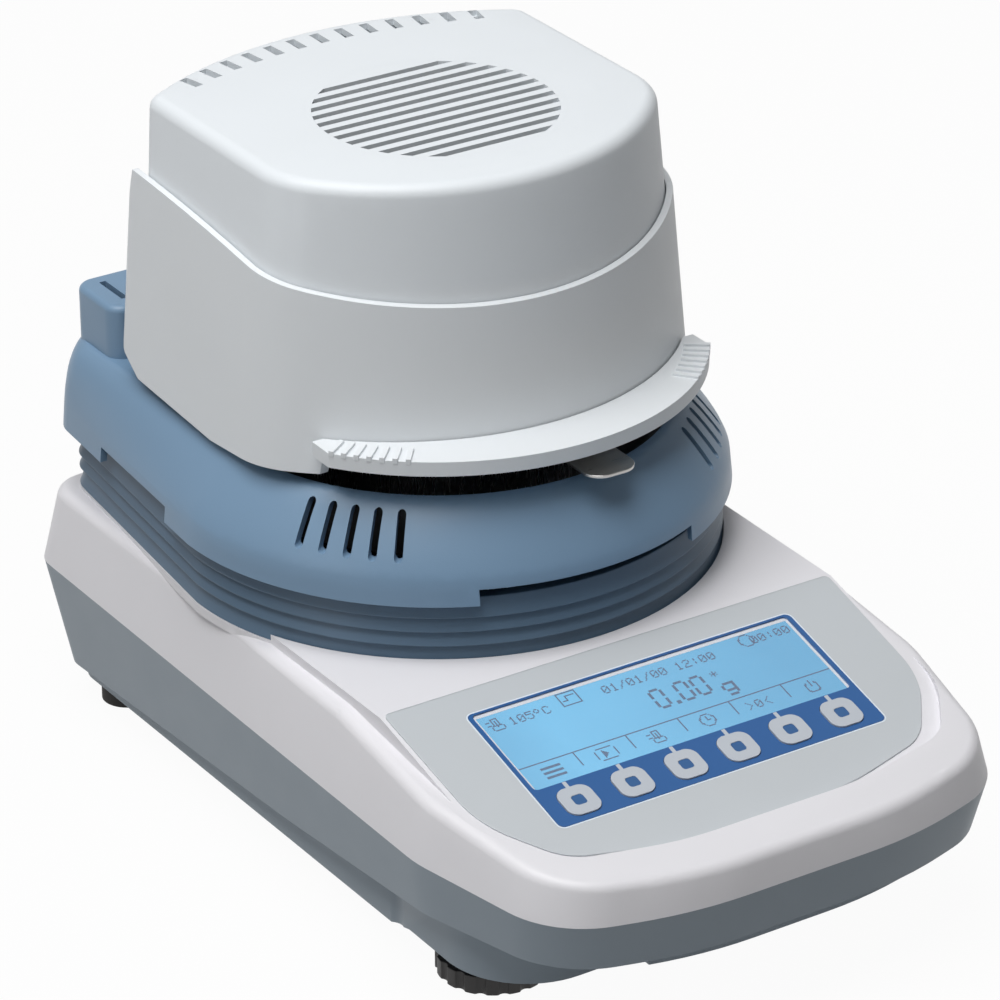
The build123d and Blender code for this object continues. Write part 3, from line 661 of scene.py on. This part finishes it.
GLYPH_ADVANCE = 6
GLYPHS: dict[str, str] = {
    "0": "01110 10001 10011 10101 11001 10001 01110",
    "1": "00100 01100 00100 00100 00100 00100 01110",
    "2": "01110 10001 00001 00110 01000 10000 11111",
    "5": "11111 10000 11110 00001 00001 10001 01110",
    ":": "00000 00100 00100 00000 00100 00100 00000",
    "/": "00001 00010 00010 00100 01000 01000 10000",
    "*": "00100 10101 01110 10101 00100 00000 00000",
    "d": "01100 10010 10010 01100 00000 00000 00000",
    "C": "01110 10001 10000 10000 10000 10001 01110",
    ">": "10000 01000 00100 00010 00100 01000 10000",
    "<": "00001 00010 00100 01000 00100 00010 00001",
    "g": "00000 01111 10001 10001 01111 00001 01110",
    " ": "00000 00000 00000 00000 00000 00000 00000",
}


@dataclass
class DotCanvas:
    """Square dots of a display, counted from its upper left corner."""

    pitch: float = 0.56 * MM
    dot_share: float = 0.96
    dots: set[tuple[int, int]] = field(default_factory=set)

    def write(self, column: int, row: int, text: str, size: int = 1) -> None:
        """Write characters.

        Args:
            column: First column.
            row: Top row.
            text: Characters that GLYPHS holds.
            size: Dots to each dot of a character.
        """
        for place, letter in enumerate(text):
            for j, line in enumerate(GLYPHS[letter].split()):
                for i, mark in enumerate(line):
                    if mark == "1":
                        self.block(column + (place * GLYPH_ADVANCE + i) * size, row + j * size, size, size)

    def block(self, column: int, row: int, wide: int, high: int) -> None:
        """Fill a rectangle."""
        self.dots.update((column + i, row + j) for i in range(wide) for j in range(high))

    def frame(self, column: int, row: int, wide: int, high: int, cut: int = 0) -> None:
        """Outline a rectangle.

        Args:
            column: First column.
            row: Top row.
            wide: Columns that it covers.
            high: Rows that it covers.
            cut: Dots left out at each corner.
        """
        for i in range(cut, wide - cut):
            self.dots.update({(column + i, row), (column + i, row + high - 1)})
        for j in range(cut, high - cut):
            self.dots.update({(column, row + j), (column + wide - 1, row + j)})

    def ring(self, column: int, row: int, radius: float, start: float = 0.0, end: float = 360.0) -> None:
        """Draw an arc.

        Args:
            column: Column of its centre.
            row: Row of its centre.
            radius: Its radius, in dots.
            start: Where it starts, in degrees from the top.
            end: Where it ends.
        """
        steps = max(16, int(radius * 14))
        for i in range(steps + 1):
            turn = radians(start + (end - start) * i / steps)
            self.dots.add((round(column + radius * sin(turn)), round(row - radius * cos(turn))))

    def big_nought(self, column: int, row: int, stroke: int = 2, arm: int = 6) -> None:
        """Draw a large nought from separate segments.

        Args:
            column: First column.
            row: Top row.
            stroke: Width of a segment.
            arm: Length of a segment.
        """
        step = stroke + arm
        for down in (0, 2 * step):
            self.block(column + stroke, row + down, arm, stroke)
        for down in (stroke, stroke + step):
            for across in (0, step):
                self.block(column + across, row + down, stroke, arm)

    def flask(self, column: int, row: int) -> None:
        """Draw a small sign of a heated sample.

        Args:
            column: First column.
            row: Top row.
        """
        self.frame(column + 4, row, 5, 7)
        self.frame(column + 2, row + 6, 9, 5, 1)
        self.block(column + 6, row + 2, 1, 6)
        for line in (2, 5):
            self.block(column, row + line, 3, 1)

    def heat_step(self, column: int, row: int) -> None:
        """Draw a heating step in a frame.

        Args:
            column: First column.
            row: Top row.
        """
        self.frame(column, row, 14, 12)
        self.block(column + 2, row + 7, 4, 1)
        self.block(column + 5, row + 3, 1, 5)
        self.block(column + 5, row + 3, 7, 1)

    def list_sign(self, column: int, row: int) -> None:
        """Draw three bars, one under the other."""
        for i in range(3):
            self.block(column, row + i * 4, 14, 2)

    def play_sign(self, column: int, row: int) -> None:
        """Draw a framed arrowhead.

        Args:
            column: First column.
            row: Top row.
        """
        self.frame(column, row, 15, 11, 2)
        for i in range(4):
            self.block(column + 5 + i, row + 2 + i, 1, 7 - 2 * i)

    def clock(self, column: int, row: int) -> None:
        """Draw a clock about its centre.

        Args:
            column: Column of the centre.
            row: Row of the centre.
        """
        self.ring(column, row, 5.0)
        self.block(column, row - 3, 1, 4)
        self.block(column, row, 3, 1)

    def power_sign(self, column: int, row: int) -> None:
        """Draw a ring that is open at the top, with a stroke in the gap."""
        self.ring(column, row, 4.5, 35.0, 325.0)
        self.block(column, row - 6, 1, 6)

    def mesh(self) -> bmesh.types.BMesh:
        """Make flat squares, one to each dot, with a hair's gap between them.

        Returns:
            The mesh.
        """
        shape = bmesh.new()
        half = self.pitch * self.dot_share / 2
        for column, row in sorted(self.dots):
            place = Matrix.Translation(((column + 0.5) * self.pitch, -(row + 0.5) * self.pitch, 0))
            bmesh.ops.create_grid(shape, x_segments=1, y_segments=1, size=half, matrix=place)
        return shape


@dataclass(frozen=True)
class DisplayLayout:
    """Where numbers and signs stand on the display, in dots."""

    status_row: int = 8
    flask_column: int = 5
    degrees_column: int = 20
    heat_step_column: int = 58
    date_column: int = 88
    timer_column: int = 197
    elapsed_column: int = 200
    reading_row: int = 23
    nought_columns: tuple[int, ...] = (112, 130, 142)
    point_column: int = 125
    unit_column: int = 158
    menu_row: int = 57
    margin: int = 2
    rule_length: int = 229
    cells: int = 6
    cell_width: float = 38.2
    list_column: int = 14
    play_column: int = 52
    drying_column: int = 90
    clock_column: int = 133
    zero_column: int = 163
    power_column: int = 211

    def draw(self) -> DotCanvas:
        """Draw the whole display.

        Returns:
            The canvas with its dots.
        """
        canvas = DotCanvas()
        self.status(canvas)
        self.reading(canvas)
        self.menu(canvas)
        return canvas

    def status(self, canvas: DotCanvas) -> None:
        """Draw temperature, heating step, date and time along the top."""
        row = self.status_row
        canvas.flask(self.flask_column, row - 2)
        canvas.write(self.degrees_column, row + 1, "105dC")
        canvas.heat_step(self.heat_step_column, row - 5)
        canvas.write(self.date_column, row, "01/01/00 12:00")
        canvas.ring(self.timer_column, row, 5.0)
        canvas.write(self.elapsed_column, row - 2, "00:00")

    def reading(self, canvas: DotCanvas) -> None:
        """Draw the weight in large figures."""
        row = self.reading_row
        for column in self.nought_columns:
            canvas.big_nought(column, row)
        canvas.block(self.point_column, row + 15, 3, 3)
        canvas.write(self.unit_column, row + 1, "*")
        canvas.write(self.unit_column, row + 11, "g", 2)

    def menu(self, canvas: DotCanvas) -> None:
        """Draw a cell with a sign above each key."""
        row = self.menu_row
        canvas.block(self.margin, row - 6, self.rule_length, 1)
        for i in range(1, self.cells):
            canvas.block(int(self.margin + i * self.cell_width), row - 5, 1, 12)
        canvas.list_sign(self.list_column, row - 1)
        canvas.play_sign(self.play_column, row - 2)
        canvas.flask(self.drying_column, row - 2)
        canvas.clock(self.clock_column, row + 3)
        canvas.write(self.zero_column, row, ">0<")
        canvas.power_sign(self.power_column, row + 4)


# Sub-assemblies

@dataclass
class Base:
    """White upper shell, grey lower shell and what they carry inside."""

    rounding: float = 0.7 * MM
    sharp_deg: float = 32.0

    def dress(self) -> None:
        """Finish the shells and the parts inside."""
        soften("base_top_casing", Finish.WHITE_CASE, self.rounding, 3, self.sharp_deg)
        soften("base_bottom_casing", Finish.GREY_CASE, self.rounding, 2, self.sharp_deg)
        dress(Finish.CIRCUIT, "main_board", "key_board")
        dress(Finish.ALUMINIUM, "load_cell", "load_cell_bracket")
        dress(Finish.BLACK, "power_inlet")
        dress(Finish.BRASS, "foot_inserts")
        dress(Finish.RUBBER, "rear_feet")


@dataclass
class PanelPlane:
    """The tilted plane of the control panel, with its origin at the display's top edge."""

    top_y: float = -68.1 * MM
    top_z: float = 87.8 * MM
    tilt: float = radians(14.3)

    def matrix(self, across: float, down: float, lift: float) -> Matrix:
        """Work out a placement on the panel.

        Args:
            across: Distance to the right of the middle.
            down: Distance down the slope from the display's top edge.
            lift: Height above the panel.

        Returns:
            A matrix whose X runs right, Y up the slope and Z out of the panel.
        """
        y = self.top_y - down * cos(self.tilt) - lift * sin(self.tilt)
        z = self.top_z - down * sin(self.tilt) + lift * cos(self.tilt)
        return Matrix.Translation((across, y, z)) @ Matrix.Rotation(self.tilt, 4, "X")


@dataclass
class ControlPanel:
    """Overlay film, blue display field, back-lit screen and six keys."""

    plane: PanelPlane = field(default_factory=PanelPlane)
    layout: DisplayLayout = field(default_factory=DisplayLayout)
    overlay_rounding: float = 0.25 * MM
    sharp_deg: float = 40.0
    field_width: float = 134.0 * MM
    field_length: float = 60.6 * MM
    field_corner: float = 2.4 * MM
    field_play: float = 0.2 * MM
    field_height: float = 0.68 * MM
    field_lift: float = 0.01 * MM
    line_grow: float = 1.1 * MM
    line_corner: float = 3.0 * MM
    line_height: float = 0.05 * MM
    line_lift: float = 0.58 * MM
    screen_width: float = 130.4 * MM
    screen_length: float = 40.6 * MM
    screen_corner: float = 1.8 * MM
    screen_down: float = 0.9 * MM
    screen_height: float = 0.3 * MM
    screen_lift: float = -0.45 * MM
    marks_lift: float = -0.10 * MM
    key_count: int = 6
    key_size: float = 13.2 * MM
    key_corner: float = 4.2 * MM
    key_gap: float = 0.18 * MM
    key_pitch: float = 21.6 * MM
    key_down: float = 51.45 * MM
    key_rounding: float = 0.45 * MM
    stem_width: float = 1.5 * MM
    stem_corner: float = 0.2 * MM
    stem_tuck: float = 0.2 * MM
    stem_height: float = 0.06 * MM
    stem_lift: float = 0.69 * MM
    eye_size: float = 4.5 * MM
    eye_corner: float = 1.2 * MM
    eye_height: float = 0.22 * MM
    eye_lift: float = 0.91 * MM

    def dress(self) -> None:
        """Build and finish the panel."""
        soften("control_overlay", Finish.OVERLAY, self.overlay_rounding, 2, self.sharp_deg)
        dress(Finish.PANE, "lcd_window")
        dress(Finish.BLACK, "lcd_module")
        self.blue_field()
        self.field_line()
        self.screen()
        self.marks()
        self.stems()
        for number in range(1, self.key_count + 1):
            self.key(number)

    def key_x(self, number: int) -> float:
        """Distance of a key from the middle, counted from 1 at the left."""
        return (number - (self.key_count + 1) / 2) * self.key_pitch

    def put(self, name: str, shape: bmesh.types.BMesh, place: Matrix, finish: Finish,
            body: str = "base") -> bpy.types.Object:
        """Place a small panel piece and let it ride.

        Args:
            name: The piece's name.
            shape: Its mesh, lying flat about its own origin.
            place: Where it goes.
            finish: What it is finished in.
            body: The CAD body that it rides on.

        Returns:
            The piece.
        """
        bmesh.ops.transform(shape, matrix=place, verts=shape.verts)
        piece = new_piece(name, shape, finish)
        ride(piece, body)
        return piece

    def blue_field(self) -> None:
        """Blue field with a window for the display and close round holes for the keys."""
        shape = bmesh.new()
        faces = [rounded_face(shape, self.field_width - self.field_play, self.field_length - self.field_play,
                              self.field_corner, (0, -self.field_length / 2)),
                 rounded_face(shape, self.screen_width, self.screen_length, self.screen_corner,
                              (0, -self.screen_length / 2 - self.screen_down))]
        hole = self.key_size + 2 * self.key_gap
        for number in range(1, self.key_count + 1):
            faces.append(rounded_face(shape, hole, hole, self.key_corner + self.key_gap,
                                      (self.key_x(number), -self.key_down), 8))
        thicken(shape, pierced(faces, shape), self.field_height)
        piece = self.put("blue_field", shape, self.plane.matrix(0, 0, self.field_lift),
                         Finish.FIELD_BLUE)
        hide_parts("display_bezel")

    def field_line(self) -> None:
        """Pale line round the blue field."""
        shape = bmesh.new()
        faces = [rounded_face(shape, self.field_width + self.line_grow, self.field_length + self.line_grow,
                              self.line_corner),
                 rounded_face(shape, self.field_width, self.field_length, self.field_corner)]
        thicken(shape, pierced(faces, shape), self.line_height)
        self.put("field_line", shape, self.plane.matrix(0, self.field_length / 2, self.line_lift),
                 Finish.FIELD_EDGE)

    def screen(self) -> None:
        """Glowing face of the display, just under its pane."""
        shape = bmesh.new()
        face = rounded_face(shape, self.screen_width, self.screen_length, self.screen_corner)
        thicken(shape, [face], self.screen_height)
        place = self.plane.matrix(0, self.screen_length / 2 + self.screen_down, self.screen_lift)
        self.put("screen_face", shape, place, Finish.SCREEN)

    def marks(self) -> None:
        """Numbers and plain signs on the display."""
        place = self.plane.matrix(-self.screen_width / 2, self.screen_down, self.marks_lift)
        self.put("screen_marks", self.layout.draw().mesh(), place, Finish.INK)

    def stems(self) -> None:
        """Pale lines from the keys up to the display."""
        shape = bmesh.new()
        top = self.screen_length + self.line_grow
        bottom = self.key_down - self.key_size / 2 + self.stem_tuck
        faces = [rounded_face(shape, self.stem_width, bottom - top, self.stem_corner,
                              (self.key_x(number), 0.0), 2) for number in range(1, self.key_count + 1)]
        thicken(shape, faces, self.stem_height)
        self.put("key_stems", shape, self.plane.matrix(0, (top + bottom) / 2, self.stem_lift),
                 Finish.KEY)

    def key(self, number: int) -> None:
        """Round off one key and set its blue eye.

        Args:
            number: The key's number, from 1 at the left.
        """
        node = f"key_{number}"
        soften(node, Finish.KEY, self.key_rounding, 3, self.sharp_deg, node)
        eye = bmesh.new()
        thicken(eye, [rounded_face(eye, self.eye_size, self.eye_size, self.eye_corner)], self.eye_height)
        self.put(f"{node}_eye", eye, self.plane.matrix(self.key_x(number), self.key_down, self.eye_lift),
                 Finish.KEY_EYE, node)


@dataclass
class Chamber:
    """Ribbed collar, vented housing, black well, heat shield and pan."""

    collar_rounding: float = 0.4 * MM
    housing_rounding: float = 0.7 * MM
    pan_rounding: float = 0.3 * MM
    sharp_deg: float = 40.0
    housing_sharp_deg: float = 38.0

    def dress(self) -> None:
        """Finish the chamber."""
        # The collar takes the housing's blue, darkened as painted shade.
        soften("chamber_collar", Finish.COLLAR_BLUE_PAINTED_SHADE, self.collar_rounding, 2, self.sharp_deg)
        soften("chamber_housing", Finish.HOUSING_BLUE, self.housing_rounding, 3, self.housing_sharp_deg)
        dress(Finish.WELL, "chamber_well")
        dress(Finish.ALUMINIUM, "heat_shield")
        dress(Finish.STEEL, "pan_carrier")
        dress(Finish.BLACK, "hinge_bushes")
        soften("sample_pan", Finish.ALUMINIUM, self.pan_rounding, 2, self.sharp_deg, "pan_set")
        soften("pan_lifter", Finish.STEEL, self.pan_rounding, 2, self.sharp_deg, "pan_set")


@dataclass
class Hood:
    """Two-tier heater hood with its louvred outlet, flange, lamp and hinge."""

    rounding: float = 0.6 * MM
    sharp_deg: float = 38.0
    outlet_y: float = 53.5 * MM
    outlet_radius: float = 45.6 * MM
    bar_radius: float = 43.4 * MM
    rim_lap: float = 0.02 * MM
    round_steps: int = 160
    slot_count: int = 12
    slot_first: float = 15.2 * MM
    slot_pitch: float = 6.5 * MM
    slot_width: float = 3.15 * MM
    bar_height: float = 3.4 * MM
    bar_rounding: float = 0.5 * MM
    bar_sharp_deg: float = 40.0
    cut_gap: float = 0.00001 * MM
    top: float = 252.5 * MM
    rim_reach: float = 0.5 * MM
    bar_reach: float = 0.3 * MM
    top_reach: float = 0.1 * MM

    def dress(self) -> None:
        """Finish the hood."""
        soften("hood_top_shell", Finish.HOOD_WHITE, self.rounding, 3, self.sharp_deg, "hood", self.at_outlet)
        # Skirt and flange take the hood's white with painted shade.
        for node in ("hood_skirt", "handle_flange"):
            soften(node, Finish.HOOD_WHITE_PAINTED_SHADE, self.rounding, 3, self.sharp_deg, "hood")
        self.louvres()
        dress(Finish.HOUSING_BLUE, "hinge_barrel")
        # The baffle takes the hood's white with painted shade.
        dress(Finish.HOOD_WHITE_PAINTED_SHADE, "vent_baffle")
        dress(Finish.STEEL, "hinge_pins", "glass_frame", "temperature_probe")
        dress(Finish.BRIGHT, "reflector")
        dress(Finish.GLASS, "halogen_lamp", "lamp_glass")
        dress(Finish.CERAMIC, "lamp_sockets")

    def outlet_distance(self, point: Vector) -> float:
        """Level distance of a point from the outlet's centre."""
        return (point.xy - Vector((0, self.outlet_y))).length

    def at_outlet(self, middle: Vector) -> bool:
        """True on the rim of the outlet, which the louvres meet flush."""
        return abs(self.outlet_distance(middle) - self.outlet_radius) < self.rim_reach

    def louvres(self) -> None:
        """Round outlet with straight bars, flush with the lid."""
        shape = bmesh.new()
        around = Matrix.Translation((0, self.outlet_y, 0))
        bmesh.ops.create_circle(shape, cap_ends=True, segments=self.round_steps, radius=self.bar_radius,
                                matrix=around)
        for i in range(self.slot_count):
            for edge in (0.0, self.slot_width):
                y = self.slot_first + i * self.slot_pitch + edge
                bmesh.ops.bisect_plane(shape, geom=shape.verts[:] + shape.edges[:] + shape.faces[:],
                                       dist=self.cut_gap, plane_co=(0, y, 0), plane_no=(0, 1, 0))
        open_faces = [face for face in shape.faces if self.in_slot(face.calc_center_median().y)]
        bmesh.ops.delete(shape, geom=open_faces, context="FACES")
        thicken(shape, shape.faces[:], -self.bar_height)
        rim = bmesh.new()
        for radius in (self.bar_radius - self.rim_lap, self.outlet_radius):
            bmesh.ops.create_circle(rim, cap_ends=False, segments=self.round_steps, radius=radius,
                                    matrix=around)
        bmesh.ops.bridge_loops(rim, edges=rim.edges[:])
        thicken(rim, rim.faces[:], -self.bar_height)
        take(shape, rim)
        bmesh.ops.recalc_face_normals(shape, faces=shape.faces)
        bmesh.ops.translate(shape, vec=(0, 0, self.top), verts=shape.verts)
        mark_edges(shape, self.bar_sharp_deg, lambda middle: not self.on_bar(middle))
        piece = new_piece("outlet_louvres", shape, Finish.HOOD_WHITE)
        round_edges(piece, self.bar_rounding, 3)
        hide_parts("hood_grille")
        ride(piece, "hood")

    def in_slot(self, y: float) -> bool:
        """True where a slot is open."""
        place = (y - self.slot_first) / self.slot_pitch
        return 0 <= place < self.slot_count and (place % 1) * self.slot_pitch < self.slot_width

    def on_bar(self, middle: Vector) -> bool:
        """True on the upper edges of the bars, away from their ends."""
        inside = self.outlet_distance(middle) < self.bar_radius - self.bar_reach
        return inside and middle.z > self.top - self.top_reach


@dataclass
class LevellingFeet:
    """Fluted wheels on rubber pads."""

    rounding: float = 0.5 * MM
    sharp_deg: float = 35.0

    def dress(self) -> None:
        """Finish the feet."""
        for side in ("left", "right"):
            wheel = f"foot_wheel_{side}"
            soften(wheel, Finish.BLACK, self.rounding, 2, self.sharp_deg, wheel)
            dress(Finish.RUBBER, f"foot_pad_{side}")


# Studio

@dataclass
class ViewCamera:
    """Camera at the photograph's viewing angle."""

    azimuth: float = radians(32.7575)
    elevation: float = radians(26.8618)
    roll: float = radians(-0.2467)
    place: tuple[float, float, float] = (-0.8526, -1.3116, 0.9149)
    lens_mm: float = 180.0
    sensor_mm: float = 36.0
    nearest: float = 0.05

    def build(self) -> None:
        """Add the camera and make it the scene's own."""
        level_share = cos(self.elevation)
        forward = Vector((sin(self.azimuth) * level_share, cos(self.azimuth) * level_share,
                          -sin(self.elevation)))
        level = Vector((cos(self.azimuth), -sin(self.azimuth), 0))
        rise = level.cross(forward)
        right = level * cos(self.roll) + rise * sin(self.roll)
        up = right.cross(forward)
        data = bpy.data.cameras.new("view_camera")
        data.lens = self.lens_mm
        data.sensor_width = self.sensor_mm
        data.clip_start = self.nearest
        camera = bpy.data.objects.new("view_camera", data)
        axes = Matrix((right, up, -forward)).transposed().to_4x4()
        camera.matrix_world = Matrix.Translation(self.place) @ axes
        bpy.context.scene.collection.objects.link(camera)
        bpy.context.scene.camera = camera


@dataclass(frozen=True)
class SoftBox:
    """Square soft light that looks at a point."""

    name: str
    place: tuple[float, float, float]
    aim: tuple[float, float, float]
    size: float
    watts: float

    def build(self) -> None:
        """Add the light."""
        data = bpy.data.lights.new(self.name, "AREA")
        data.size = self.size
        data.energy = self.watts
        lamp = bpy.data.objects.new(self.name, data)
        look = (Vector(self.aim) - Vector(self.place)).to_track_quat("-Z", "Y")
        lamp.matrix_world = Matrix.Translation(self.place) @ look.to_matrix().to_4x4()
        bpy.context.scene.collection.objects.link(lamp)


@dataclass
class Studio:
    """White floor, two soft lights and a dim pale surround."""

    floor_half: float = 6.0
    floor_share: float = 0.36
    floor_glow: float = 1.04
    glow_share: float = 0.92
    surround: float = 0.13
    backdrop: float = 0.8
    gloss_share: float = 0.55
    lamps: tuple[SoftBox, ...] = (
        SoftBox("overhead", (-0.55, -0.10, 2.0), (0, 0, 0), 1.5, 41.0),
        SoftBox("left", (-2.1, -0.4, 0.9), (0, 0, 0.12), 1.0, 4.0),
    )

    def build(self) -> None:
        """Add floor, lamps and world."""
        self.floor()
        for lamp in self.lamps:
            lamp.build()
        self.world()
        bpy.context.scene.view_settings.view_transform = "Standard"

    def floor(self) -> None:
        """A wide floor that the camera sees white, shadow apart."""
        shape = bmesh.new()
        bmesh.ops.create_grid(shape, x_segments=1, y_segments=1, size=self.floor_half)
        mesh = bpy.data.meshes.new("floor")
        shape.to_mesh(mesh)
        shape.free()
        floor = bpy.data.objects.new("floor", mesh)
        bpy.context.scene.collection.objects.link(floor)
        tree = Tree.material("floor_white")
        diffuse = tree.add("ShaderNodeBsdfDiffuse", {"Color": (self.floor_share,) * 3})
        glow = tree.add("ShaderNodeEmission", {"Color": (1.0, 1.0, 1.0), "Strength": self.floor_glow})
        seen, shine, through = (tree.add("ShaderNodeLightPath", out=f"Is {kind} Ray")
                                for kind in ("Camera", "Glossy", "Transmission"))
        share = (seen + shine + through) * self.glow_share
        mixed = tree.add("ShaderNodeMixShader", {0: share, 1: diffuse, 2: glow})
        tree.close("ShaderNodeOutputMaterial", mixed)
        mesh.materials.append(tree.owner)
        floor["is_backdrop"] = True

    def world(self) -> None:
        """Dim surround for light, brighter for the camera and for gloss."""
        world = bpy.data.worlds.new("surround")
        tree = Tree(world)
        seen = tree.add("ShaderNodeLightPath", out="Is Camera Ray")
        shine = tree.add("ShaderNodeLightPath", out="Is Glossy Ray")
        level = tree.add("ShaderNodeMapRange", {"Value": seen.or_more(shine * self.gloss_share),
                                                "To Min": self.surround, "To Max": 1.0}, out="Result")
        shade = tree.add("ShaderNodeBackground", {"Color": (self.backdrop,) * 3, "Strength": level})
        tree.close("ShaderNodeOutputWorld", shade)
        bpy.context.scene.world = world


def main() -> None:
    """Build the studio and dress every sub-assembly in order."""
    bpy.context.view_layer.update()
    ViewCamera().build()
    Studio().build()
    for part in (Base(), ControlPanel(), Chamber(), Hood(), LevellingFeet()):
        part.dress()
        LOG.info("dressed %s", type(part).__name__)
    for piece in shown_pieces():
        LOG.info("piece %s", piece.name)


if __name__ == "__main__":
    logging.basicConfig(level=logging.INFO)
    main()
